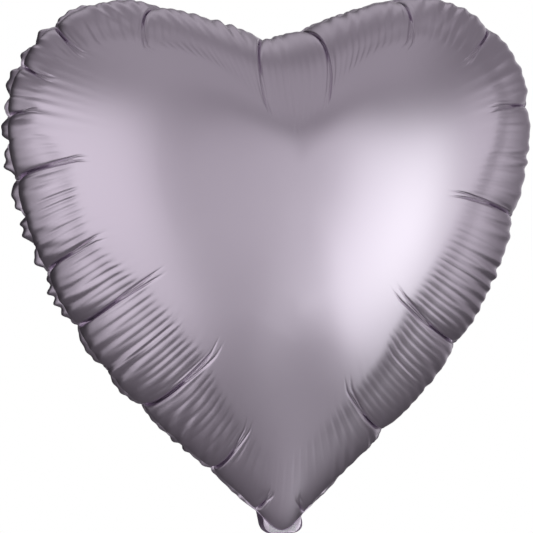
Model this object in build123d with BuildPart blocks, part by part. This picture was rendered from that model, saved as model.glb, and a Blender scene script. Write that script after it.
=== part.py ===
"""Heart-shaped foil balloon, filled, with its inflation tail folded up behind the neck.

Millimetres. X is to the right, +Z is up and the printed front faces -Y. The origin is the middle
of the neck crease, where the heart ends and the tail folds, and where a ribbon is tied.
The metallised film is drawn much thicker than it is, so that it makes closed solids.
"""

import math
import os

from build123d import *

os.makedirs("parts", exist_ok=True)

# The weld line that joins the two heart panels, right half, in the plane Y = 0.
LOBE_RADIUS = 88
LOBE_CENTRE = (109, 306)
CLEFT_HEIGHT = 363
SIDE_RADIUS = 330
SIDE_START = 5  # degrees below level, where the lobe's arc runs on into the side's
SIDE_END = 47  # degrees below level, where the side's arc runs on into a straight line
NECK_HALF_WIDTH = 14
NECK_FILLET = 6
NECK_CORNER = 8
NECK_END = 1  # the heart's film ends just short of the crease

# The filled shape: a dome over the seam, highest at its middle.
MIDDLE = (0, 264)
HALF_DEPTH = 87.8
DOME_POWER = 2.5  # how long the dome stays flat on its way out from the middle
DOME_ROOT = 0.56  # how steeply it comes down on the seam
ROUNDING_RADIUS = 185  # height lines never get wider than about this near the middle
ROUNDING_POWER = 6
OUTLINE_POWER = 4  # how close to the seam the height lines start to follow the heart
TIP_SPREAD = 14  # degrees either side of the neck that the next two reach
TIP_ROOT = 0.06  # added to DOME_ROOT, so that the dome thins out towards the crease
TIP_POWER = 8  # added to OUTLINE_POWER, so that the neck stays a short one
LEVEL_STEP = 8.5  # degrees of a quarter turn between two height lines
LEVELS = 11
BODY_POINTS = 24
NECK_POINTS = 8
NECK_RUN = 45  # length of seam, up from the crease, that has its points closer together

# Film.
PANEL_FILM = 0.5
FLANGE_FILM = 0.4
FLANGE_WIDTH = 3
FLANGE_LAP = 1.2  # how far the flange reaches inside the weld line
TAIL_FILM = 0.25
VALVE_FILM = 0.15

# The tail, a flat sleeve that holds the valve, folded up behind the heart.
FOLD_ANGLE = 42  # degrees between the folded tail and the vertical
TAIL_START = 1.2  # distance from the crease
TAIL_END = 60
TAIL_WIDTH = 33
TAIL_CORNER = 6
POCKET_WIDTH = 22  # between the tail's two welded edges, where the valve lies
POCKET_SLOPE = 1.5
HOLE_RADIUS = 3
HOLE_PLACE = 52

# The self-closing valve: two clear strips, pressed flat by the gas once the balloon is full.
VALVE_WIDTH = 20
VALVE_CORNER = 4
VALVE_MOUTH = 46  # distance from the crease to the valve's open end, in the tail
VALVE_TOP = 105  # height of its other end, inside the heart


def on_circle(centre, radius, degrees_below_level):
    """The point of a circle at an angle below the level line through its centre."""
    angle = math.radians(degrees_below_level)
    return (centre[0] + radius * math.cos(angle), centre[1] - radius * math.sin(angle))


def shoulder_tangent():
    """Where the straight shoulder that leaves the cleft meets the lobe's circle."""
    rise_x = LOBE_CENTRE[0]
    rise_z = LOBE_CENTRE[1] - CLEFT_HEIGHT
    reach = math.hypot(rise_x, rise_z)
    turn = math.acos(LOBE_RADIUS / reach)
    towards_cleft = math.atan2(-rise_z, -rise_x)
    angle = towards_cleft - turn
    return (
        LOBE_CENTRE[0] + LOBE_RADIUS * math.cos(angle),
        LOBE_CENTRE[1] + LOBE_RADIUS * math.sin(angle),
    )


def half_seam():
    """The right half of the weld line, from the cleft round the lobe to the crease's middle."""
    cleft = (0, CLEFT_HEIGHT)
    shoulder = shoulder_tangent()
    lobe_top = (LOBE_CENTRE[0], LOBE_CENTRE[1] + LOBE_RADIUS)
    lobe_end = on_circle(LOBE_CENTRE, LOBE_RADIUS, SIDE_START)
    side_centre = on_circle(LOBE_CENTRE, LOBE_RADIUS - SIDE_RADIUS, SIDE_START)
    side_middle = on_circle(side_centre, SIDE_RADIUS, (SIDE_START + SIDE_END) / 2)
    side_end = on_circle(side_centre, SIDE_RADIUS, SIDE_END)
    slope = math.radians(SIDE_END)
    run = (side_end[0] - NECK_HALF_WIDTH) / math.sin(slope)
    neck_top = (NECK_HALF_WIDTH, side_end[1] - run * math.cos(slope))
    with BuildLine() as line:
        Line(cleft, shoulder)
        ThreePointArc(shoulder, lobe_top, lobe_end)
        ThreePointArc(lobe_end, side_middle, side_end)
        FilletPolyline(
            side_end,
            neck_top,
            (NECK_HALF_WIDTH, NECK_END),
            (0, NECK_END),
            radius=(NECK_FILLET, NECK_CORNER),
        )
    return line.wire()


SEAM = half_seam()
NECK_SHARE = NECK_RUN / SEAM.length
BODY_SHARES = [(1 - NECK_SHARE) * i / BODY_POINTS for i in range(BODY_POINTS)]
NECK_SHARES = [1 - NECK_SHARE * (1 - i / NECK_POINTS) for i in range(NECK_POINTS + 1)]


def seam_point(share, inset):
    """A point of the half seam, moved into the heart at right angles to it by inset."""
    point = SEAM @ share
    along = SEAM % share
    if share == 0:
        return (0, point.Y - inset)
    return (point.X + inset * along.Y, point.Y - inset * along.X)


def height_line(share, height, crown, inset):
    """Where the height line at this height crosses the ray from the middle to a seam point."""
    x, z = seam_point(share, inset)
    x, z = x - MIDDLE[0], z - MIDDLE[1]
    reach = math.hypot(x, z)
    off_neck = math.degrees(math.atan2(x, -z))
    tip = math.exp(-((off_neck / TIP_SPREAD) ** 2))
    root = DOME_ROOT + TIP_ROOT * tip
    level = (1 - (height / crown) ** (1 / root)) ** (1 / DOME_POWER)
    rounded = (reach**-ROUNDING_POWER + ROUNDING_RADIUS**-ROUNDING_POWER) ** (-1 / ROUNDING_POWER)
    out = rounded * level + (reach - rounded) * level ** (OUTLINE_POWER + TIP_POWER * tip)
    return (MIDDLE[0] + x / reach * out, MIDDLE[1] + z / reach * out)


def level_points(height, crown, inset):
    """The right half of a height line, from the cleft to the crease."""
    return [height_line(share, height, crown, inset) for share in BODY_SHARES + NECK_SHARES]


def level_heights(crown):
    """Heights of the lines that the dome is lofted through, close together at the crown."""
    return [crown * math.sin(math.radians(LEVEL_STEP * i)) for i in range(LEVELS)]


# The front panel: a domed sheet of film with the flat flange that is welded to the back one.
with BuildPart() as front_panel:
    for height in level_heights(HALF_DEPTH):
        with BuildSketch(Plane.XZ.offset(height)) as outer_level:
            with BuildLine():
                Spline(level_points(height, HALF_DEPTH, 0))
                mirror(about=Plane.YZ)
            make_face()
    loft()
    for height in level_heights(HALF_DEPTH - PANEL_FILM):
        with BuildSketch(Plane.XZ.offset(height)) as inner_level:
            with BuildLine():
                Spline(level_points(height, HALF_DEPTH - PANEL_FILM, PANEL_FILM))
                mirror(about=Plane.YZ)
            make_face()
    loft(mode=Mode.SUBTRACT)
    with BuildSketch(Plane.XZ) as flange_outline:
        with BuildLine():
            add(SEAM)
            mirror(about=Plane.YZ)
        make_face()
        offset(amount=FLANGE_WIDTH)
        with Locations((0, NECK_END)):
            Rectangle(TAIL_WIDTH, 1.9 * NECK_CORNER)
        with BuildSketch(mode=Mode.SUBTRACT):
            with BuildLine():
                add(SEAM)
                mirror(about=Plane.YZ)
            make_face()
            offset(amount=-FLANGE_LAP)
    extrude(amount=FLANGE_FILM)
    # The crease's edge is not welded: the film runs on into the tail there.
    split(bisect_by=Plane.XY.offset(NECK_END), keep=Keep.TOP)
    # The valve is welded in between the two panels where they meet at the crease.
    with BuildSketch(Plane.XZ) as valve_place:
        with Locations((0, NECK_END)):
            Rectangle(VALVE_WIDTH, 2.5 * NECK_CORNER)
    extrude(amount=VALVE_FILM, mode=Mode.SUBTRACT)
front_panel.part.label = "front_panel"

# The back panel is cut and formed the same way, and faces backwards.
with BuildPart() as back_panel:
    mirror(front_panel.part, about=Plane.XZ)
back_panel.part.label = "back_panel"

# The valve's two strips inside the heart, hanging up from the crease in the seam's plane.
with BuildPart() as valve_front_ply:
    with BuildSketch(Plane.XZ) as valve_outline:
        with Locations((0, NECK_END)):
            RectangleRounded(VALVE_WIDTH, 2 * (VALVE_TOP - NECK_END), VALVE_CORNER)
    extrude(amount=VALVE_FILM)
    split(bisect_by=Plane.XY.offset(NECK_END), keep=Keep.TOP)
valve_front_ply.part.label = "valve_front_ply"

with BuildPart() as valve_back_ply:
    mirror(valve_front_ply.part, about=Plane.XZ)
valve_back_ply.part.label = "valve_back_ply"

# The folded tail's own plane: Y runs along the tail from the crease, +Z faces away from the heart.
FOLD = math.radians(FOLD_ANGLE)
TAIL_PLANE = Plane(origin=(0, 0, 0), x_dir=(-1, 0, 0), z_dir=(0, math.cos(FOLD), -math.sin(FOLD)))
TAIL_SECTION = Plane(
    origin=(0, TAIL_START * math.sin(FOLD), TAIL_START * math.cos(FOLD)),
    x_dir=(1, 0, 0),
    z_dir=(0, math.sin(FOLD), math.cos(FOLD)),
)

# The tail's outer film carries on from the front panel, round the outside of the fold.
with BuildPart() as tail_front_film:
    with BuildSketch(TAIL_SECTION) as film_section:
        with BuildLine():
            Polyline(
                (0, VALVE_FILM),
                (POCKET_WIDTH / 2, VALVE_FILM),
                (POCKET_WIDTH / 2 + POCKET_SLOPE, 0),
                (TAIL_WIDTH / 2, 0),
                (TAIL_WIDTH / 2, TAIL_FILM),
                (POCKET_WIDTH / 2 + POCKET_SLOPE, TAIL_FILM),
                (POCKET_WIDTH / 2, VALVE_FILM + TAIL_FILM),
                (0, VALVE_FILM + TAIL_FILM),
            )
            mirror(about=Plane.YZ)
        make_face()
    extrude(amount=TAIL_END - TAIL_START)
    with BuildSketch(TAIL_PLANE) as tail_outline:
        RectangleRounded(TAIL_WIDTH, 2 * TAIL_END, TAIL_CORNER)
        with Locations((0, HOLE_PLACE)):
            Circle(HOLE_RADIUS, mode=Mode.SUBTRACT)
    extrude(amount=1, both=True, mode=Mode.INTERSECT)
tail_front_film.part.label = "tail_front_film"

# Its inner film carries on from the back panel.
with BuildPart() as tail_back_film:
    mirror(tail_front_film.part, about=TAIL_PLANE)
tail_back_film.part.label = "tail_back_film"

# The valve's two strips in the tail, between the films, open at their far end.
with BuildPart() as tail_valve_front_ply:
    with BuildSketch(TAIL_PLANE) as tail_valve_outline:
        with Locations((0, (TAIL_START + VALVE_MOUTH) / 2)):
            Rectangle(VALVE_WIDTH, VALVE_MOUTH - TAIL_START)
    extrude(amount=VALVE_FILM)
tail_valve_front_ply.part.label = "tail_valve_front_ply"

with BuildPart() as tail_valve_back_ply:
    mirror(tail_valve_front_ply.part, about=TAIL_PLANE)
tail_valve_back_ply.part.label = "tail_valve_back_ply"

pieces = (
    front_panel,
    back_panel,
    valve_front_ply,
    valve_back_ply,
    tail_front_film,
    tail_back_film,
    tail_valve_front_ply,
    tail_valve_back_ply,
)
for piece in pieces:
    export_step(piece.part, f"parts/{piece.part.label}.step")
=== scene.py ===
"""Heart-shaped foil balloon, filled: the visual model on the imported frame.

The frame is in metres. The film's shape is worked out in millimetres, with +Y pointing out of the
panel that is being made, and is turned and scaled when its mesh is made.
"""

import math
from types import SimpleNamespace

import bpy
import numpy as np
from mathutils import Matrix, Vector


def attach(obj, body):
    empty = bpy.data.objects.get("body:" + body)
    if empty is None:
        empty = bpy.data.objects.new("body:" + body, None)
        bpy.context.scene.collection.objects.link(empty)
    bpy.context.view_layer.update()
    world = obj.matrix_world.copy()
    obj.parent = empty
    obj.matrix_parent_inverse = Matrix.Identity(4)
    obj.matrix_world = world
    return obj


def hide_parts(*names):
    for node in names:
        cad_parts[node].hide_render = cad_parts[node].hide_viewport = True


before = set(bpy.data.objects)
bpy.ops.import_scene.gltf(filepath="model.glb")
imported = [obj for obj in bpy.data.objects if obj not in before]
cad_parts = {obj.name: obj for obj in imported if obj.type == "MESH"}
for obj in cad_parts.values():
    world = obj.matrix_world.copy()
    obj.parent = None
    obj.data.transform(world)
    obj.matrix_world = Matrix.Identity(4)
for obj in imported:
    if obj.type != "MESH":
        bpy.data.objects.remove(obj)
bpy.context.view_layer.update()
MM = 0.001

# ---------------------------------------------------------------- the weld line, as in the CAD
LOBE_RADIUS = 88
LOBE_CENTRE = (109, 306)
CLEFT_HEIGHT = 363
SIDE_RADIUS = 330
SIDE_START = 5
SIDE_END = 47
NECK_HALF_WIDTH = 14
NECK_FILLET = 6
NECK_CORNER = 8
NOSE_START = 11  # how far above the neck the filled film's own line leaves the flat outline
NOSE = ((13.5, 15), (10.5, 2.4), (0, 2))  # where it goes from there, as a Bezier curve

# ---------------------------------------------------------------- the dome over it, as in the CAD
MIDDLE = (0, 264)
HALF_DEPTH = 87.8
DOME_POWER = 2.5
DOME_ROOT = 0.56
ROUNDING_RADIUS = 185
ROUNDING_POWER = 6
OUTLINE_POWER = 4
TIP_SPREAD = 14
TIP_ROOT = 0.06
TIP_POWER = 4
CORNER_POWER = 40  # how close to the weld the dome takes up the outline's sharper turns
SOFT_SPREAD = 6  # degrees that its height lines are evened out over near the middle
NEAR_SPREAD = 6.5  # and near the weld

# ---------------------------------------------------------------- the film's mesh
EVEN = 3584  # evenly spaced places along the weld that the shape is first worked out at
TURN_STEPS = 3600  # even steps of bearing that the dome's height lines are evened out over
STRAY = 0.35  # how far the lengths in a random wave stray from the one asked for, as a share
COLUMNS = 1792  # lines from the rim to the middle, closer together at the tucks
CROWDING = 2.4  # extra ones at a tuck, for each one elsewhere
CROWD_SPREAD = 3.2  # how far from a tuck, in mm
RIM_RINGS = 44  # rings of the outer part, where the film is puckered
RIM_SHARE = 0.56  # how much of the way to the middle that part goes
CLEFT_SHARE = 0.31  # how much further it goes under the cleft
CLEFT_SPREAD = 34  # degrees either side that this reaches
RIM_CROWDING = 1.25  # above 1, the rings are closer together towards the rim
CAP_RINGS = 12
CAP_CROWDING = 0.9  # below 1, its rings are closer together towards the middle
CAP_THINNING = 4  # the cap keeps one column in this many

# ---------------------------------------------------------------- the welded border
FLANGE_WIDTH = 3.0
FLANGE_HALF_THICKNESS = 0.12
RECESS = 1.4  # how far the film's pull draws the weld in
NECK_TOP = 14  # height from which it does
NECK_GROWTH = 16  # and the rise over which that grows
NARROW_NOTCH = (0.75, 1.3)  # share of a tuck's notch in the weld, and half width in mm
WIDE_NOTCH = (0.4, 5)
# How far the border's outer edge stands towards the back, in mm, at bearings in degrees.
BORDER_LEAN = (
    (0, 2.7), (60, 2.6), (110, 2.4), (150, 2.5), (172, 2.3), (178, 0.2),
    (182, 0.2), (188, 2.3), (215, 2.6), (245, 2.9), (315, 2.9), (360, 2.7),
)
FLANGE_ROWS = ((0.12, 1), (0.5, 1), (0.88, 1), (1, 0))  # share of the width, share of the thickness

# ---------------------------------------------------------------- tucks
# Where the film is taken up, each by its bearing in degrees clockwise from the cleft as seen from
# the front and the notch that it makes in the weld, in mm. Then for the front and the back panel:
# length along the film in mm, degrees that it leans by its inner end, and depth in mm.
TUCKS = (
    (328, 1.6, (70, -15, 5), (60, -8, 5.5)),
    (316.5, 1.4, None, (36, -3, 5)),
    (305.5, 2.2, (47, -4, 5), (46, -3, 6)),
    (300, 2.0, None, (34, -1, 5.5)),
    (294.5, 2.6, (36, -1.5, 5), (40, 2, 6.5)),
    (287.5, 2.0, None, (34, 0, 6)),
    (283.5, 2.4, (31, 2, 4), (40, 2, 6)),
    (278, 2.0, None, (34, 1, 6)),
    (270, 3.0, (64, 5, 6), (56, 4, 7)),
    (262, 1.8, None, (38, 2, 5.5)),
    (255, 1.6, None, (44, 0, 5.5)),
    (248.5, 2.4, (60, 4, 5.5), (64, 3, 7)),
    (234.5, 3.0, (84, 0.5, 6.5), (76, -2, 7)),
    (223, 1.2, None, (44, -2, 5)),
    (212, 3.0, (82, -6.5, 6.5), (70, -6, 7)),
    (194, 2.6, (54, -4, 5), (50, -4, 6)),
    (184.7, 2.0, (25, -2, 3.5), (22, -1.5, 3)),
    (176.2, 2.0, (22, 1.5, 3), (22, 1.5, 3)),
    (157.5, 2.8, (70, 7.5, 5.5), (64, 5, 6.5)),
    (145, 1.2, None, (48, 3, 5)),
    (133.5, 3.0, (92, 5.5, 6.5), (72, 2, 7)),
    (118, 1.4, None, (46, -1, 5.5)),
    (101, 3.0, (84, -2.5, 6), (60, -3, 6.5)),
    (88, 1.6, None, (38, 0, 5.5)),
    (76.5, 2.2, (56, -2.2, 5), (48, 0, 6)),
    (65, 1.4, None, (34, 2, 5)),
    (57, 1.6, (60, 3, 5), (44, 4, 6)),
    (36.5, 1.6, (74, 8, 5), (46, 8, 5.5)),
    (11, 1.8, (118, 14.5, 5), (80, 10, 5.5)),
    (357.8, 1.5, (132, -22, 5.5), (84, -8, 5)),
)
# How strongly the film ripples between the tucks, at bearings in degrees.
RIPPLES = (
    (0, 2.4), (9, 2.4), (16, 1.3), (26, 0.9), (50, 0.5), (66, 0.3), (87, 0.8), (112, 0.9),
    (147, 1.1), (167, 0.4), (182, 0.2), (200, 1), (222, 1.2), (241, 1.1), (262, 1.5), (277, 1),
    (289, 0.6), (300, 0.7), (316, 1.2), (330, 0.3), (345, 0.3), (350, 0.7), (356, 2), (360, 2.4),
)
RIPPLE_PITCH = 5.4
RIPPLE_HEIGHT = 0.2
RIPPLE_START = 0.14  # share of the way in to their inner line at which they start
RIPPLE_GROWTH = 0.45  # and over which they grow
RIPPLE_RING = 24  # the ring of the mesh that they are counted along


def arc(centre, radius, start, end, count=400):
    """Points of an arc between two angles, in degrees below level."""
    angle = np.radians(np.linspace(start, end, count))
    return np.column_stack([centre[0] + radius * np.cos(angle), centre[1] - radius * np.sin(angle)])


def rounded(before, corner, after, radius, count=60):
    """Points round a corner between two straight lines."""
    before, corner, after = (np.array(p, float) for p in (before, corner, after))
    back = (before - corner) / np.linalg.norm(before - corner)
    on = (after - corner) / np.linalg.norm(after - corner)
    half = math.acos(np.clip(back @ on, -1, 1)) / 2
    centre = corner + (back + on) / np.linalg.norm(back + on) * radius / math.sin(half)
    first = corner + back * radius / math.tan(half) - centre
    last = corner + on * radius / math.tan(half) - centre
    share = np.linspace(0, 1, count)[:, None]
    spread = first * (1 - share) + last * share
    return centre + spread / np.linalg.norm(spread, axis=1)[:, None] * radius


def weld_lines():
    """The line round the filled film, evenly spaced, and the places on the flat outline beside it.

    Both run clockwise from the cleft as seen from the front. The filled film comes to a rounded
    nose inside the flat neck, and everywhere else the two are the same.
    """
    rise = np.array([LOBE_CENTRE[0], LOBE_CENTRE[1] - CLEFT_HEIGHT], float)
    shoulder = math.degrees(
        math.atan2(-rise[1], -rise[0]) - math.acos(LOBE_RADIUS / np.linalg.norm(rise))
    )
    turn = math.radians(SIDE_START)
    side_centre = (
        LOBE_CENTRE[0] + (LOBE_RADIUS - SIDE_RADIUS) * math.cos(turn),
        LOBE_CENTRE[1] - (LOBE_RADIUS - SIDE_RADIUS) * math.sin(turn),
    )
    side = arc(side_centre, SIDE_RADIUS, SIDE_START, SIDE_END)
    slope = math.radians(SIDE_END)
    run = (side[-1, 0] - NECK_HALF_WIDTH) / math.sin(slope)
    neck_top = (NECK_HALF_WIDTH, side[-1, 1] - run * math.cos(slope))
    neck_end = (NECK_HALF_WIDTH, 0)
    heart = np.vstack([[(0, CLEFT_HEIGHT)], arc(LOBE_CENTRE, LOBE_RADIUS, -shoulder, SIDE_START), side[1:]])
    neck = np.vstack(
        [
            rounded(side[-1], neck_top, neck_end, NECK_FILLET),
            rounded(neck_top, neck_end, (0, 0), NECK_CORNER),
            [(0, 0)],
        ]
    )
    leave = np.array(neck_top) + NOSE_START * np.array([math.sin(slope), math.cos(slope)])
    share = np.linspace(0, 1, 40)[:, None]
    pulls = (leave, *np.array(NOSE, float))
    nose = sum(math.comb(3, i) * share**i * (1 - share) ** (3 - i) * pulls[i] for i in range(4))
    shared = length_of(heart)[-1] + np.linalg.norm(leave - side[-1])
    lines = []
    for half in (np.vstack([heart, nose]), np.vstack([heart, [leave], neck])):
        run = length_of(half)
        if not lines:
            want = np.linspace(0, run[-1], EVEN // 2 + 1)
            past = np.clip((want - shared) / (run[-1] - shared), 0, None)
        else:
            want = np.where(want > shared, shared + past * (run[-1] - shared), want)
        right = np.column_stack([np.interp(want, run, half[:, i]) for i in (0, 1)])
        lines.append(np.vstack([right, right[-2:0:-1] * (-1, 1)]))
    return lines


def nearest(difference, whole):
    """A difference along a closed line, taken the short way round."""
    return difference - np.round(difference / whole) * whole


def by_bearing(pairs, bearing):
    """A value given at some bearings, at any others between them."""
    return np.interp(np.mod(bearing, 360), *np.transpose(pairs))


def smooth_step(x):
    """A smooth rise from 0 at 0 to 1 at 1."""
    x = np.clip(x, 0, 1)
    return x * x * (3 - 2 * x)


def length_of(line):
    """The distance along a line to each of its points."""
    return np.concatenate([[0], np.cumsum(np.linalg.norm(np.diff(line, axis=0), axis=1))])


def smoothed(line, spread):
    """The points of a closed line, evened out over a spread in millimetres of weld line."""
    wave = np.fft.rfftfreq(EVEN, SEAM_LENGTH / EVEN)
    keep = np.exp(-2 * (np.pi * wave * spread) ** 2)[:, None]
    return np.fft.irfft(np.fft.rfft(line, axis=0) * keep, n=EVEN, axis=0)


def wavy(seed, length):
    """A periodic random wave along the weld, of about the length given and a standard deviation of one."""
    wave = np.fft.rfftfreq(EVEN, SEAM_LENGTH / EVEN)
    noise = np.fft.rfft(np.random.default_rng(seed).normal(size=EVEN))
    made = np.fft.irfft(noise * np.exp(-(((wave * length - 1) / STRAY) ** 2)), n=EVEN)
    return made / made.std()


SEAM, OUTLINE = weld_lines()
SEAM_LENGTH = np.linalg.norm(np.roll(SEAM, -1, axis=0) - SEAM, axis=1).sum()
RAY = SEAM - MIDDLE
REACH = np.linalg.norm(RAY, axis=1)
BEARING = np.degrees(np.unwrap(np.arctan2(RAY[:, 0], RAY[:, 1])))
TIP = np.exp(-(((BEARING - 180) / TIP_SPREAD) ** 2))
SOFT = (REACH**-ROUNDING_POWER + ROUNDING_RADIUS**-ROUNDING_POWER) ** (-1 / ROUNDING_POWER)


def eased(reach, spread):
    """A distance from the middle, by bearing, evened out over a spread in degrees."""
    turn = BEARING[0] + np.arange(TURN_STEPS) * 360 / TURN_STEPS
    wave = np.fft.rfftfreq(TURN_STEPS, 360 / TURN_STEPS)
    even = np.interp(turn, np.append(BEARING, BEARING[0] + 360), np.append(reach, reach[0]))
    even = np.fft.irfft(np.fft.rfft(even) * np.exp(-2 * (np.pi * wave * spread) ** 2), n=TURN_STEPS)
    return np.interp(BEARING, np.append(turn, turn[0] + 360), np.append(even, even[0]))


SOFT = eased(SOFT, SOFT_SPREAD)
NEAR = eased(REACH, NEAR_SPREAD)


def at(values, place):
    """A periodic list of values at any places between its own."""
    low = np.floor(place).astype(int)
    part = place - low
    part = part[:, None] if values.ndim > 1 else part
    return values[low % EVEN] * (1 - part) + values[(low + 1) % EVEN] * part


def dome(level, place):
    """Points of the smooth filled shape, as (x, height above the weld's plane, z)."""
    ray, reach, soft, near, tip = (at(values, place) for values in (RAY, REACH, SOFT, NEAR, TIP))
    out = soft * level + (near - soft) * level ** (OUTLINE_POWER + TIP_POWER * tip)
    out = out + (reach - near) * level**CORNER_POWER
    height = HALF_DEPTH * (1 - level**DOME_POWER) ** (DOME_ROOT + TIP_ROOT * tip)
    flat = MIDDLE + ray / reach[:, None] * out[..., None]
    return np.stack([flat[..., 0], height, flat[..., 1]], axis=-1)


def rings(shares, place):
    """The dome's points at shares of the film's length from the rim to the middle, and that length."""
    fine = 1 - np.linspace(0, 1, 400)[:, None] ** 3
    step = np.linalg.norm(np.diff(dome(fine, place), axis=0), axis=-1)
    run = np.vstack([np.zeros(step.shape[1]), np.cumsum(step, axis=0)])
    length = run[-1]
    deep = shares * length
    level = np.column_stack([np.interp(deep[:, k], run[:, k], fine[:, 0]) for k in range(len(length))])
    return dome(level, place), deep


PUCKERED = RIM_SHARE + CLEFT_SHARE * np.exp(-((nearest(BEARING, 360) / CLEFT_SPREAD) ** 2))
RIM_SHARES = np.linspace(0, 1, RIM_RINGS + 1)[:, None] ** RIM_CROWDING
EVEN_POINTS, EVEN_DEEP = rings(PUCKERED * RIM_SHARES, np.arange(EVEN))


def sample(values, place):
    """Values given at the even places, at any places among them: one row of places for each ring."""
    low = np.floor(place).astype(int)
    part = place - low
    rows = np.arange(len(place))[:, None]
    first, second = values[rows, low % EVEN], values[rows, (low + 1) % EVEN]
    if values.ndim == 3:
        part = part[..., None]
    return first * (1 - part) + second * part


def at_bearing(bearing):
    """The even place at a bearing."""
    turned = np.mod(np.asarray(bearing, float) - BEARING[0], 360) + BEARING[0]
    return np.interp(turned, np.append(BEARING, BEARING[0] + 360), np.arange(EVEN + 1))


def crowded():
    """The columns' even places at the rim, closer together at every tuck."""
    even = np.arange(EVEN)
    crowd = np.ones(EVEN)
    for tuck in TUCKS:
        away = nearest(even - at_bearing(tuck[0]), EVEN) * SEAM_LENGTH / EVEN
        crowd = np.maximum(crowd, 1 + CROWDING * np.exp(-((away / CROWD_SPREAD) ** 2)))
    run = np.concatenate([[0], np.cumsum(crowd)])
    return np.interp(np.arange(COLUMNS) * run[-1] / COLUMNS, run, np.arange(EVEN + 1))


AT_RIM = crowded()
ACROSS = smoothed(np.roll(SEAM, -1, axis=0) - np.roll(SEAM, 1, axis=0), 3)
OUTWARD = np.column_stack([-ACROSS[:, 1], ACROSS[:, 0]]) / np.linalg.norm(ACROSS, axis=1)[:, None]
WAVE = 0.9 * wavy(21, 34) * (1 - TIP)
RUFFLE = 0.28 * wavy(22, 11) + 0.12 * wavy(23, 7)
FLANGE_LEAN = by_bearing(BORDER_LEAN, BEARING) + 0.3 * wavy(25, 40)
FRAY = 0.22 * wavy(24, 9.5)


def film_grid(which):
    """One panel's smooth points, with what its tucks are worked out from at each of them."""
    tucks = [(tuck[0], tuck[1], *tuck[which]) for tuck in TUCKS if tuck[which]]
    tucks.sort(key=lambda tuck: at_bearing(tuck[0]))
    start = at_bearing([tuck[0] for tuck in tucks])
    lean = np.array([tuck[3] for tuck in tucks], float)
    length = np.array([tuck[2] for tuck in tucks], float)
    deep_at = EVEN_DEEP[:, start.round().astype(int) % EVEN]
    share = deep_at / length
    shift = nearest(at_bearing([t[0] for t in tucks] + lean * np.clip(share, 0, 1.05)) - start, EVEN)
    around_place = np.concatenate([start[-1:] - EVEN, start, start[:1] + EVEN])
    around_shift = np.hstack([shift[:, -1:], shift, shift[:, :1]])
    place = AT_RIM + np.array([np.interp(AT_RIM, around_place, row) for row in around_shift])
    base = sample(EVEN_POINTS, place)
    deep = sample(EVEN_DEEP, place)
    step = np.linalg.norm(np.roll(base, -1, axis=1) - base, axis=-1)
    run = np.hstack([np.zeros((len(base), 1)), np.cumsum(step, axis=1)])
    column = np.interp(start, np.append(AT_RIM, AT_RIM[0] + EVEN), np.arange(COLUMNS + 1))
    along = np.roll(base, -1, axis=1) - np.roll(base, 1, axis=1)
    inward = np.gradient(base, axis=0)
    along /= np.linalg.norm(along, axis=-1, keepdims=True)
    out = np.cross(along, inward)
    out /= np.linalg.norm(out, axis=-1, keepdims=True)
    away = []
    for k in range(len(tucks)):
        own = np.array([np.interp(column[k], np.arange(COLUMNS + 1), row) for row in run])
        away.append(nearest(run[:, :-1] - own[:, None], run[:, -1:]))
    return SimpleNamespace(
        tucks=tucks,  # bearing, notch, length, lean and depth of each
        place=place,  # each point's even place along the weld
        base=base,  # where it is on the smooth dome
        deep=deep,  # how far in from the rim, along the film
        along=along,  # directions along the ring and out of the film
        out=out,
        run=run,  # distance along each ring
        column=column,  # the column that each tuck starts at
        share=share,  # how far along each tuck each ring is
        away=away,  # how far each point is to one side of each tuck
    )


# How high the film puffs out near the rim between the tucks, in mm, at bearings in degrees: -1 is the
# front panel and 1 is the back one.
PUFFS = {
    -1: (
        (0, 2.4), (60, 3.0), (120, 3.4), (180, 3.0), (215, 3.2),
        (245, 3.0), (300, 2.8), (335, 2.8), (360, 2.4),
    ),
    1: (
        (0, 2.6), (60, 3.0), (120, 3.2), (180, 3.0), (215, 4.6),
        (245, 6.4), (300, 6.4), (318, 5.0), (335, 2.8), (360, 2.6),
    ),
}
PUFF_PLACE = 13  # how far in from the rim it is highest, in mm
PUFF_SWAY = 0.16  # how much its height varies along the weld, as a share
PUFF_SWAY_LENGTH = 11
COME_DOWN = (0.2, 4.8, 9.5)  # where it comes down to a tuck: share of the way to the next, and limits in mm
TROUGH_DEPTH = 1.6  # how far the film between the tucks lies below the smooth shape, in mm
LONG_TUCK = 30  # tucks at least this long bound that trough
TROUGH_GROWTH = 50  # how much longer they are where it is deepest
TROUGH_RUN = 12  # how far in from the rim it takes to reach its depth
CLEFT_TROUGH = (0.75, 30)  # how much shallower it is under the cleft, and for how many degrees
CORE_SHARE = 0.62  # how much of a tuck's length is a deep fold
VALLEY_WIDTH = (0.42, 0.25)  # half width of a tuck at its inner end, and how much more at the rim, in mm
SHOULDER = (0.7, 3.6)  # depth and half width of the dip either side of it, in mm
FORK = (0.2, 0.6)  # the fine creases that it ends in: share of its depth, and half width in mm
FINE_CREASES = 3  # how many more run beside each tuck
EXCESS = 0.012  # extra width that the film has near a tuck's inner end, as a share
ENDING = 12  # run over which everything fades out before the smooth cap, in mm
RIM_RUN = 9  # run over which the film leaves the weld's own line, in mm
SETTLE_ROUNDS = 90


def ridge(away, half_width, power=2):
    """A rounded rise of height 1 on a line, by distance from it."""
    return np.exp(-((np.abs(away) / half_width) ** power))


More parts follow.
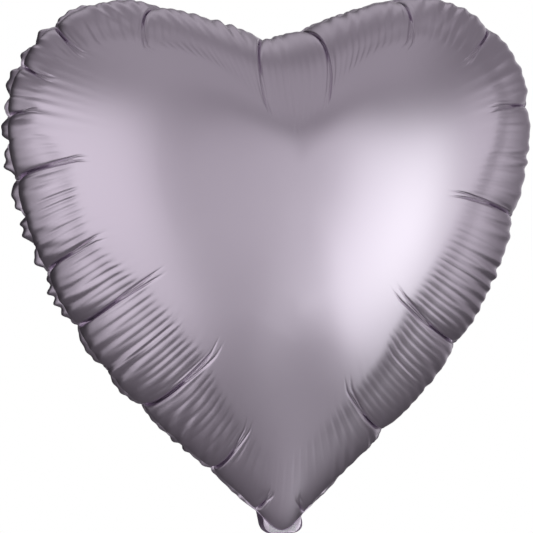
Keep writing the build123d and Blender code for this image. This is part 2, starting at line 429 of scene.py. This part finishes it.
def puffs(grid, side, seed, near):
    """How far the film stands out near the rim, where the gas pushes it out between the tucks."""
    high = by_bearing(PUFFS[side], BEARING[near])
    high = high * (1 + PUFF_SWAY * wavy(seed + 30, PUFF_SWAY_LENGTH))[near]
    deep = grid.deep / PUFF_PLACE
    stand = high * (deep * np.exp(1 - deep)) ** 1.2 * (1 - TIP[near])
    start = at_bearing([tuck[0] for tuck in grid.tucks])
    gap = np.mod(np.roll(start, -1) - start, EVEN) * SEAM_LENGTH / EVEN
    gap = np.clip(COME_DOWN[0] * gap, *COME_DOWN[1:])
    for k, away in enumerate(grid.away):
        fade = smooth_step((1.15 - grid.share[:, k]) / 0.5)[:, None]
        stand *= 1 - fade * ridge(away, np.where(away > 0, gap[k], gap[k - 1]), 1.6)
    return stand


def inner_line(grid):
    """The line from tuck to tuck, by column, that the trough and the ripples between them end at."""
    longer = [k for k, tuck in enumerate(grid.tucks) if tuck[2] >= LONG_TUCK]
    column = grid.column[longer]
    ends = np.concatenate([column[-1:] - COLUMNS, column, column[:1] + COLUMNS])
    lengths = np.array([grid.tucks[k][2] for k in longer], float)
    return np.interp(np.arange(COLUMNS), ends, np.concatenate([lengths[-1:], lengths, lengths[:1]]))


def trough(deep, inner, near):
    """How far the film lies below the smooth shape between the longer tucks."""
    settled = TROUGH_DEPTH * smooth_step((inner - LONG_TUCK) / TROUGH_GROWTH)
    settled = settled * smooth_step((inner + 3 - deep) / (6 + 0.22 * inner))
    shallower, spread = CLEFT_TROUGH
    settled *= 1 - shallower * np.exp(-((nearest(BEARING[near], 360) / spread) ** 4))
    return settled * smooth_step(deep / TROUGH_RUN) * (1 - TIP[near])


def ripples(rng, run, deep, inner, near):
    """The even ripples that run across the film between the tucks."""
    whole = run[RIPPLE_RING, -1]
    count = int(round(whole / RIPPLE_PITCH))
    index = run[RIPPLE_RING, :-1] / whole * count

    def per_ripple(low, high):
        values = rng.uniform(low, high, count)
        return np.interp(index, np.arange(count + 1), np.append(values, values[0]))

    phase = 2 * np.pi * (index + per_ripple(-0.12, 0.12))
    amount = by_bearing(RIPPLES, BEARING[near])
    window = smooth_step((deep - RIPPLE_START * inner) / (RIPPLE_GROWTH * inner))
    window = window * smooth_step((inner + per_ripple(-3, 3) + 2 - deep) / (0.09 * inner + 2))
    window = window * (0.4 + 0.6 * np.clip(deep / inner, 0, 1)) * amount * per_ripple(0.55, 1.25)
    return RIPPLE_HEIGHT * window * (np.sin(phase) + 0.3 * np.sin(2 * phase + 0.7))


def fold(rng, tuck, share, away, stand, lean, excess):
    """Folds one tuck into the film: changes its height, its lean and its excess width in place."""
    _, _, length, _, depth = tuck
    part = share[:, None]
    left = np.clip(1 - part, 0, 1)
    over = rng.choice((-1, 1))
    off = away + 0.35 * np.sin(5 * part + rng.uniform(0, 6))
    run = part * length
    deepest = 0.28 * left**0.5 + np.clip(1 - part / CORE_SHARE, 0, 1) ** 0.5
    deepest = 1.2 * depth * (0.4 + 0.6 * smooth_step(run / 7)) * deepest
    valley = deepest * ridge(off, VALLEY_WIDTH[0] + VALLEY_WIDTH[1] * left, 1.15)
    stand -= valley + SHOULDER[0] * left**0.6 * smooth_step(run / 6) * ridge(off, SHOULDER[1], 1.4)
    lean += over * 0.3 * valley
    # The inner end forks into two fine creases, with a ridge between them.
    for turn in (-1, 1):
        spread = turn * rng.uniform(1.6, 3.4) * np.clip((part - 0.45) / 0.75, 0, 2)
        window = smooth_step((part - 0.4) / 0.25) * smooth_step((1.22 - part) / 0.3)
        stand -= FORK[0] * depth * window * ridge(off - spread, FORK[1], 1.3)
    # Fine creases run beside it for part of the way.
    for _ in range(FINE_CREASES):
        spread = rng.choice((-1, 1)) * rng.uniform(1.8, 5.5)
        start = rng.uniform(0.15, 0.6)
        window = smooth_step((part - start) / 0.2) * smooth_step((start + 0.55 - part) / 0.25)
        stand -= rng.uniform(0.15, 0.4) * window * ridge(off - spread, 0.55, 1.4)
    window = smooth_step((part - 0.3) / 0.3) * smooth_step((1.2 - part) / 0.3)
    excess += EXCESS * window * ridge(off, 5)


def pucker(grid, side, seed):
    """How far the puckered film stands out from the smooth dome, how far it leans and its excess."""
    rng = np.random.default_rng(seed)
    near = grid.place.round().astype(int) % EVEN
    inner = inner_line(grid)
    stand = puffs(grid, side, seed, near)
    stand -= trough(grid.deep, inner, near)
    stand += ripples(rng, grid.run, grid.deep, inner, near)
    lean = np.zeros_like(stand)
    excess = np.zeros_like(stand)
    for k, tuck in enumerate(grid.tucks):
        fold(rng, tuck, grid.share[:, k], grid.away[k], stand, lean, excess)
    ending = smooth_step((grid.deep[-1] - grid.deep) / ENDING)
    return stand * ending, lean * ending, excess * ending


def settle(target, excess, out, seed, rounds):
    """Lets the film take up its excess width: a net of stiff threads held loosely to the target.

    Each round sets every thread back to its own length and then fits all the points to the threads
    at once. That last step is a linear system that a Fourier transform along the rings separates.
    """
    hold, ring_pull, rib_pull, cross_pull, bend = 1e-3, 1.0, 1.0, 0.15, 6e-3
    inner = slice(1, -1)
    rng = np.random.default_rng(seed)
    turn = 2 * np.pi * np.arange(COLUMNS // 2 + 1) / COLUMNS
    second = 2 - 2 * np.cos(turn)
    link = rib_pull + 2 * cross_pull * np.cos(turn)
    count = len(target) - 2
    system = np.zeros((len(turn), count, count))
    rows = np.arange(count)
    system[:, rows, rows] = (
        hold + ring_pull * second + bend * second**2 + 2 * rib_pull + 4 * cross_pull
    )[:, None]
    system[:, rows[:-1], rows[1:]] = system[:, rows[1:], rows[:-1]] = -link[:, None]
    solve = np.linalg.inv(system)

    def thread(points, shift_ring, shift_column):
        ends = np.roll(points, -shift_column, axis=1)
        if shift_ring == 1:
            return ends[1:] - points[:-1]
        if shift_ring == -1:
            return ends[:-1] - points[1:]
        return ends - points

    def size(vectors):
        return np.sqrt((vectors**2).sum(-1, keepdims=True))

    kinds = ((0, 1, ring_pull, 1.0), (1, 0, rib_pull, 0.0), (1, 1, cross_pull, 0.5), (-1, 1, cross_pull, 0.5))
    lengths = []
    for shift_ring, shift_column, pull, part in kinds:
        own = size(thread(target, shift_ring, shift_column))
        extra = excess[..., None] * part
        if shift_ring:
            width = np.linalg.norm(thread(target, 0, 1), axis=-1)[..., None]
            extra = 0.5 * (extra[1:] + extra[:-1]) * (width[1:] / own) ** 2 if part else 0
        lengths.append(own * (1 + extra))
    fixed = (hold + bend * second**2)[None, :, None] * np.fft.rfft(target, axis=1)[inner]
    fixed[0] += link[:, None] * np.fft.rfft(target[0], axis=0)
    fixed[-1] += link[:, None] * np.fft.rfft(target[-1], axis=0)

    points = target.copy()
    rough = rng.normal(size=(1, COLUMNS)) + 0.5 * rng.normal(size=(len(target), COLUMNS))
    points[inner] += (0.03 * rough[..., None] * out)[inner] * np.minimum(1, 100 * excess[inner])[..., None]
    for _ in range(rounds):
        push = np.zeros_like(points)
        for (shift_ring, shift_column, pull, part), length in zip(kinds, lengths):
            vectors = thread(points, shift_ring, shift_column)
            vectors *= pull * length / size(vectors)
            if shift_ring == 0:
                push -= vectors
                push += np.roll(vectors, shift_column, axis=1)
            elif shift_ring == 1:
                push[:-1] -= vectors
                push[1:] += np.roll(vectors, shift_column, axis=1)
            else:
                push[1:] -= vectors
                push[:-1] += np.roll(vectors, shift_column, axis=1)
        right = np.fft.rfft(push[inner], axis=1) + fixed
        fitted = np.matmul(solve, right.transpose(1, 0, 2)).transpose(1, 0, 2)
        points[inner] = np.fft.irfft(fitted, n=COLUMNS, axis=1)
    return points


def rim_and_flange():
    """The weld's own line with its notches, and the welded border's outer edge, as (x, y, z)."""
    weld = EVEN_POINTS[0] * (1, 0, 1)
    outward = np.column_stack([OUTWARD[:, 0], np.zeros(EVEN), OUTWARD[:, 1]])
    notch = np.zeros(EVEN)
    for tuck in TUCKS:
        away = nearest(np.arange(EVEN) - at_bearing(tuck[0]), EVEN) * SEAM_LENGTH / EVEN
        narrow = NARROW_NOTCH[0] * ridge(away, NARROW_NOTCH[1], 1.2)
        notch += tuck[1] * (narrow + WIDE_NOTCH[0] * ridge(away, WIDE_NOTCH[1]))
    above_neck = smooth_step((OUTLINE[:, 1] - NECK_TOP) / NECK_GROWTH)
    weld -= outward * (above_neck * (RECESS + notch))[:, None]
    weld[:, 1] = WAVE
    flat_part = np.sqrt(np.maximum(FLANGE_WIDTH**2 - FLANGE_LEAN**2, 0.8))
    wide = above_neck * (flat_part - RECESS + FRAY - 0.6 * notch)
    sway = WAVE + RUFFLE * (0.15 + 0.85 * above_neck) + FLANGE_LEAN * above_neck
    edge = np.column_stack([OUTLINE[:, 0], sway, OUTLINE[:, 1]])
    edge += outward * wide[:, None]
    right = np.arange(EVEN) < EVEN // 2
    edge[:, 0] = np.where(right, np.maximum(edge[:, 0], 0.02), np.minimum(edge[:, 0], -0.02))
    return [sample(line[None], AT_RIM[None])[0] for line in (weld, edge)]


RIM, EDGE = rim_and_flange()


def film(name, points, faces, side, sharp=None):
    """A mesh of film from points in mm: side -1 turns it to the front, and sharp picks its sharp edges."""
    flat = points.reshape(-1, 3) * (MM, side * MM, MM)
    mesh = bpy.data.meshes.new(name)
    mesh.from_pydata(flat.tolist(), [], faces)
    mesh.validate()
    mesh.shade_smooth()
    if sharp is not None:
        ends = np.empty(len(mesh.edges) * 2, dtype=np.int32)
        mesh.edges.foreach_get("vertices", ends)
        crease = mesh.attributes.new("sharp_edge", "BOOLEAN", "EDGE")
        crease.data.foreach_set("value", sharp(ends.reshape(-1, 2)))
    piece = bpy.data.objects.new(name, mesh)
    bpy.context.scene.collection.objects.link(piece)
    return piece


def panel(name, which, seed, side):
    """One heart panel: its welded border, its puckered outer part and the smooth cap inside it."""
    grid = film_grid(which)
    stand, lean, excess = pucker(grid, side, seed)
    rim = RIM * (1, side, 1)
    target = grid.base + grid.out * stand[..., None] + grid.along * lean[..., None]
    target += (rim - grid.base[0]) * np.exp(-grid.deep / RIM_RUN)[..., None]
    target[0] = rim
    outer = settle(target, excess, grid.out, seed, SETTLE_ROUNDS)

    edge = EDGE * (1, side, 1)
    border = [rim + (edge - rim) * share for share, _ in FLANGE_ROWS]
    for row, (_, thick) in zip(border, FLANGE_ROWS):
        row[:, 1] += FLANGE_HALF_THICKNESS * thick
    points = [np.array(border[::-1]), outer]
    faces = []
    ring = np.arange(COLUMNS)
    after = np.roll(ring, -1)

    def add(*corners):
        made = np.column_stack(corners)
        faces.extend((made if side < 0 else made[:, ::-1]).tolist())

    def strip(low, high, now, then):
        add(low + now, low + then, high + then, high + now)

    rows = len(FLANGE_ROWS) + RIM_RINGS
    for j in range(rows):
        strip(j * COLUMNS, (j + 1) * COLUMNS, ring, after)
    # The cap has fewer columns: its first rings each have half as many as the one outside them.
    start = rows * COLUMNS
    total = (rows + 1) * COLUMNS
    keep = 1
    for share in np.linspace(0, 1, CAP_RINGS + 1)[1:-1] ** CAP_CROWDING:
        halve = keep < CAP_THINNING
        step = keep * 2 if halve else keep
        spot = grid.place[-1, ::step]
        past = at(PUCKERED, spot)
        layer, _ = rings((past + (1 - past) * share)[None], spot)
        points.append(layer)
        count = COLUMNS // step
        now = np.arange(count)
        then = np.roll(now, -1)
        if halve:
            middle = start + 2 * now + 1
            add(start + 2 * now, middle, total + now)
            add(middle, total + then, total + now)
            add(middle, start + (2 * now + 2) % (2 * count), total + then)
        else:
            strip(start, total, now, then)
        start, total, keep = total, total + count, step
    points.append(np.array([[[MIDDLE[0], HALF_DEPTH, MIDDLE[1]]]]))
    add(start + now, start + then, np.full(count, total))
    flat = np.vstack([part.reshape(-1, 3) for part in points])
    first = len(FLANGE_ROWS) * COLUMNS

    def on_weld(ends):
        return ((ends >= first) & (ends < first + COLUMNS)).all(axis=1)

    return film(name, flat, faces, side, on_weld)


# ---------------------------------------------------------------- the tail, as in the CAD
FOLD_ANGLE = math.radians(42)
TAIL_LENGTH = 60
TAIL_HALF_WIDTH = 16.5
TAIL_CORNER = 6
CREASE_CORNER = 9.5
TAIL_FILM = 0.25
ACROSS_STEP = 0.75
ALONG_STEP = 0.8
HOLE_RADIUS = 3
HOLE_PLACE = 52
HOLE_CELLS = 3  # half the square of the mesh that is cut out and rounded into the hole
EASED_CELLS = 9
END_RUN = 16  # length at each end over which the rows close up into the corners
POCKET_HALF_WIDTH = 9
POCKET_END = 44
POCKET_HEIGHT = 0.16
WELD_MARGIN = 5
RIB_HEIGHT = 0.04
RIB_PITCH = 1.6


def tail_film(name, face):
    """One film of the tail as a closed thin sheet; face is 1 for the outer one, -1 for the other."""
    half, whole = round(TAIL_HALF_WIDTH / ACROSS_STEP), round(TAIL_LENGTH / ALONG_STEP)
    x, v = np.meshgrid(np.arange(-half, half + 1) * ACROSS_STEP, np.arange(whole + 1) * ALONG_STEP)
    rows, columns = x.shape
    # The mesh is eased round the hole, so that the square cut out of it becomes a circle.
    dx, dv = x, v - HOLE_PLACE
    cells = np.maximum(np.abs(dx) / ACROSS_STEP, np.abs(dv) / ALONG_STEP)
    away = np.maximum(np.hypot(dx, dv), 1e-9)
    part = np.clip((cells - HOLE_CELLS) / (EASED_CELLS - HOLE_CELLS), 0, 1)
    scale = (HOLE_RADIUS + (away - HOLE_RADIUS) * part) / away
    x, v = dx * scale, HOLE_PLACE + dv * scale
    # Its rows close up at the sides, where the corners are rounded.
    past = np.clip(np.abs(x) - TAIL_HALF_WIDTH + TAIL_CORNER, 0, TAIL_CORNER)
    last = TAIL_LENGTH - TAIL_CORNER + np.sqrt(TAIL_CORNER**2 - past**2)
    past = np.clip(np.abs(x) - TAIL_HALF_WIDTH + CREASE_CORNER, 0, CREASE_CORNER)
    first = CREASE_CORNER - np.sqrt(CREASE_CORNER**2 - past**2)
    v = np.where(v < END_RUN, first + v * (END_RUN - first) / END_RUN, v)
    far = TAIL_LENGTH - END_RUN
    v = np.where(v > far, far + (v - far) * (last - far) / END_RUN, v)

    side = np.minimum(TAIL_HALF_WIDTH - np.abs(x), last - v)
    ribs = RIB_HEIGHT * np.cos(2 * np.pi * v / RIB_PITCH)
    ribs = ribs * smooth_step(side / 0.8) * smooth_step(WELD_MARGIN - side)
    pocket = POCKET_HEIGHT * smooth_step((POCKET_HALF_WIDTH - np.abs(x)) / 3)
    pocket = pocket * smooth_step((POCKET_END - v) / 6)
    pocket = pocket * (1 + 0.4 * np.sin(v / 3.1 + 0.5 * face) * np.sin(x / 2.3 + 1))
    curl = smooth_step((v - POCKET_END) / (TAIL_LENGTH - POCKET_END))
    curl = curl * (0.8 * np.sin(x / 9 + 0.6) + 0.5 * (x / 16) ** 2)
    upper = face * (TAIL_FILM + ribs + pocket) + curl
    points = np.vstack([np.stack([x, h, v], -1).reshape(-1, 3) for h in (upper, curl)])

    cut = (cells < HOLE_CELLS + 0.01).reshape(-1)
    count = rows * columns
    faces = []
    open_edges = set()
    for j in range(rows - 1):
        for i in range(columns - 1):
            low = j * columns + i
            quad = (low, low + 1, low + columns + 1, low + columns)
            if cut[list(quad)].all():
                continue
            faces += [quad, tuple(q + count for q in quad[::-1])]
            for edge in zip(quad, quad[1:] + quad[:1]):
                if edge[::-1] in open_edges:
                    open_edges.remove(edge[::-1])
                else:
                    open_edges.add(edge)
    faces += [(b, a, a + count, b + count) for a, b in sorted(open_edges)]
    used = sorted({q for quad in faces for q in quad})
    renumbered = {old: new for new, old in enumerate(used)}
    faces = [[renumbered[q] for q in quad][:: -face] for quad in faces]
    lift = np.array([0, math.sin(FOLD_ANGLE), math.cos(FOLD_ANGLE)])
    out = np.array([0, math.cos(FOLD_ANGLE), -math.sin(FOLD_ANGLE)])
    spread = points[used][:, :, None] * np.array([(1, 0, 0), out, lift])
    piece = film(name, spread.sum(axis=1), faces, 1)
    piece.data.set_sharp_from_angle(angle=math.radians(40))
    return piece


# ---------------------------------------------------------------- materials


def material(name):
    """A new node material, with its nodes and links."""
    made = bpy.data.materials.new(name)
    made.use_nodes = True
    return made, made.node_tree.nodes, made.node_tree.links


def noise(nodes, links, scale, detail):
    """A noise texture in the object's own space."""
    place = nodes.new("ShaderNodeTexCoord")
    made = nodes.new("ShaderNodeTexNoise")
    made.inputs["Scale"].default_value = scale
    made.inputs["Detail"].default_value = detail
    links.new(place.outputs["Object"], made.inputs["Vector"])
    return made.outputs["Fac"]


def between(nodes, links, value, low, high):
    """A value turned into one between two others."""
    made = nodes.new("ShaderNodeMapRange")
    made.inputs["From Min"].default_value = 0.3
    made.inputs["From Max"].default_value = 0.7
    made.inputs["To Min"].default_value = low
    made.inputs["To Max"].default_value = high
    links.new(value, made.inputs["Value"])
    return made.outputs["Result"]


def grain(nodes, links, shader, scale, detail, strength, depth):
    """Gives a shader a fine noise bump; its depth is in metres."""
    bump = nodes.new("ShaderNodeBump")
    bump.inputs["Strength"].default_value = strength
    bump.inputs["Distance"].default_value = depth
    links.new(noise(nodes, links, scale, detail), bump.inputs["Height"])
    links.new(bump.outputs["Normal"], shader.inputs["Normal"])


def foil_material():
    """Satin metallised film: a soft grey-lilac metal with a faint grain and slight cloudiness."""
    made, nodes, links = material("satin_foil")
    shader = nodes["Principled BSDF"]
    shader.inputs["Metallic"].default_value = 1.0
    cloud = noise(nodes, links, 9, 4)
    tint = nodes.new("ShaderNodeValToRGB")
    low, high = tint.color_ramp.elements
    low.position, low.color = 0.3, (0.655, 0.577, 0.688, 1)
    high.position, high.color = 0.7, (0.690, 0.613, 0.722, 1)
    links.new(cloud, tint.inputs["Fac"])
    links.new(tint.outputs["Color"], shader.inputs["Base Color"])
    links.new(between(nodes, links, cloud, 0.33, 0.37), shader.inputs["Roughness"])
    grain(nodes, links, shader, 1400, 3, 0.05, 0.0001)
    return made


def valve_material():
    """Clear valve film: thin, glossy and slightly milky, with a faint stretch grain."""
    made, nodes, links = material("clear_film")
    shader = nodes["Principled BSDF"]
    shader.inputs["Base Color"].default_value = (0.86, 0.88, 0.90, 1)
    cloud = noise(nodes, links, 60, 3)
    links.new(between(nodes, links, cloud, 0.12, 0.2), shader.inputs["Roughness"])
    links.new(between(nodes, links, cloud, 0.4, 0.55), shader.inputs["Alpha"])
    grain(nodes, links, shader, 240, 2, 0.1, 0.0002)
    return made


def to_camera_and_to_foil(nodes, links, camera_sees, foil_sees, surface):
    """Shows one shader to the camera itself and another to every other ray."""
    path = nodes.new("ShaderNodeLightPath")
    mix = nodes.new("ShaderNodeMixShader")
    links.new(path.outputs["Is Camera Ray"], mix.inputs["Fac"])
    links.new(foil_sees, mix.inputs[1])
    links.new(camera_sees, mix.inputs[2])
    links.new(mix.outputs["Shader"], surface)


def floor_material():
    """A plain pale floor, evenly bright to the camera and dim in the foil."""
    made, nodes, links = material("pale_floor")
    shader = nodes["Principled BSDF"]
    shader.inputs["Roughness"].default_value = 0.9
    shader.inputs["Base Color"].default_value = (0.27, 0.26, 0.27, 1)
    shine = nodes.new("ShaderNodeEmission")
    links.new(between(nodes, links, noise(nodes, links, 3, 2), 0.965, 0.985), shine.inputs["Strength"])
    surface = nodes["Material Output"].inputs["Surface"]
    to_camera_and_to_foil(nodes, links, shine.outputs["Emission"], shader.outputs["BSDF"], surface)
    return made


FOIL = foil_material()
CLEAR = valve_material()

for piece, node, body in (
    (panel("front_film", 2, 3, -1), "front_panel", "heart"),
    (panel("back_film", 3, 8, 1), "back_panel", "heart"),
    (tail_film("tail_outer_film", 1), "tail_back_film", "tail"),
    (tail_film("tail_inner_film", -1), "tail_front_film", "tail"),
):
    piece.data.materials.append(FOIL)
    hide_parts(node)
    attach(piece, body)
for name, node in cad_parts.items():
    node.data.materials.clear()
    node.data.materials.append(CLEAR if "valve" in name else FOIL)

# ---------------------------------------------------------------- floor, light and camera
FLOOR_HEIGHT = -1.5
FLOOR_RADIUS = 4.5
FLOOR_SIDES = 96

floor_mesh = bpy.data.meshes.new("floor")
turn = np.linspace(0, 2 * np.pi, FLOOR_SIDES, endpoint=False)
height = np.full(FLOOR_SIDES, FLOOR_HEIGHT)
disc = np.column_stack([FLOOR_RADIUS * np.cos(turn), FLOOR_RADIUS * np.sin(turn), height])
floor_mesh.from_pydata(disc.tolist(), [], [list(range(FLOOR_SIDES))])
floor = bpy.data.objects.new("floor", floor_mesh)
floor.data.materials.append(floor_material())
bpy.context.scene.collection.objects.link(floor)

TARGET = Vector((0, 0, 0.2))  # what the lights point at


def heading(azimuth, elevation):
    """A direction from the balloon: azimuth 0 is its front, 90 its right as seen from the front."""
    turn, rise = math.radians(azimuth), math.radians(elevation)
    return Vector((math.cos(rise) * math.sin(turn), -math.cos(rise) * math.cos(turn), math.sin(rise)))


def area_light(name, azimuth, elevation, away, width, height, brightness, tint=(1, 1, 1)):
    """A soft box that faces the balloon, of an even brightness whatever its size."""
    lamp = bpy.data.lights.new(name, "AREA")
    lamp.shape = "RECTANGLE"
    lamp.size = width
    lamp.size_y = height
    lamp.energy = math.pi * brightness * width * height
    lamp.color = tint
    thing = bpy.data.objects.new(name, lamp)
    thing.location = TARGET + heading(azimuth, elevation) * away
    thing.rotation_euler = (-heading(azimuth, elevation)).to_track_quat("-Z", "Y").to_euler()
    bpy.context.scene.collection.objects.link(thing)


area_light("key", 41, -15, 1.9, 1.35, 1.95, 1.14, (0.95, 1.0, 0.96))
area_light("key_core", 48, -13, 1.85, 0.7, 1.0, 0.52, (0.9, 1.0, 0.86))
area_light("left", -53, -8, 1.9, 1.9, 2.4, 0.78)
area_light("front", 5, -8, 1.9, 1.7, 1.9, 0.36)
area_light("left_edge", -100, -8, 1.9, 1.2, 1.7, 0.27)
area_light("right", 76, -5, 1.9, 0.9, 1.6, 0.54)
area_light("low", 0, -42, 1.9, 2.4, 0.9, 0.28)
area_light("high", 10, 62, 1.9, 3.0, 2.1, 0.19)
area_light("behind_right", 146, 6, 2.2, 1.1, 1.6, 0.45)
area_light("behind", 168, 3, 2.2, 1.1, 1.7, 0.5)
area_light("behind_high", -178, 52, 2.2, 2.4, 1.0, 0.4)


def studio():
    """A world that is white to the camera; in the foil it is dim, and darkest behind on the left."""
    world = bpy.data.worlds.new("studio")
    bpy.context.scene.world = world
    world.use_nodes = True
    nodes, links = world.node_tree.nodes, world.node_tree.links
    white = nodes.new("ShaderNodeBackground")
    white.inputs["Color"].default_value = (1, 1, 1, 1)
    direction = nodes.new("ShaderNodeTexCoord")
    toward = nodes.new("ShaderNodeVectorMath")
    toward.operation = "DOT_PRODUCT"
    toward.inputs[1].default_value = heading(-160, -6)
    links.new(direction.outputs["Generated"], toward.inputs[0])
    room = nodes.new("ShaderNodeValToRGB")
    dim, dark = room.color_ramp.elements
    dim.position, dim.color = 0.4, (0.225, 0.215, 0.225, 1)
    dark.position, dark.color = 0.76, (0.012, 0.01, 0.012, 1)
    links.new(toward.outputs["Value"], room.inputs["Fac"])
    fill = nodes["Background"]
    links.new(room.outputs["Color"], fill.inputs["Color"])
    surface = nodes["World Output"].inputs["Surface"]
    to_camera_and_to_foil(nodes, links, white.outputs["Background"], fill.outputs["Background"], surface)


studio()

CAMERA_AZIMUTH = -12
CAMERA_ROLL = -1.6
CAMERA_AWAY = 2.6
HALF_VIEW = 0.1965  # half the width seen at the balloon, in metres
AIM = Vector((-0.0065, 0, 0.197))
camera_data = bpy.data.cameras.new("camera")
camera_data.sensor_width = 36
camera_data.lens = camera_data.sensor_width / 2 / (HALF_VIEW / CAMERA_AWAY)
camera = bpy.data.objects.new("camera", camera_data)
place = AIM + heading(CAMERA_AZIMUTH, 0) * CAMERA_AWAY
look = (AIM - place).to_track_quat("-Z", "Y").to_matrix().to_4x4()
camera.matrix_world = Matrix.Translation(place) @ look @ Matrix.Rotation(math.radians(CAMERA_ROLL), 4, "Z")
bpy.context.scene.collection.objects.link(camera)
bpy.context.scene.camera = camera
bpy.context.scene.view_settings.view_transform = "Standard"
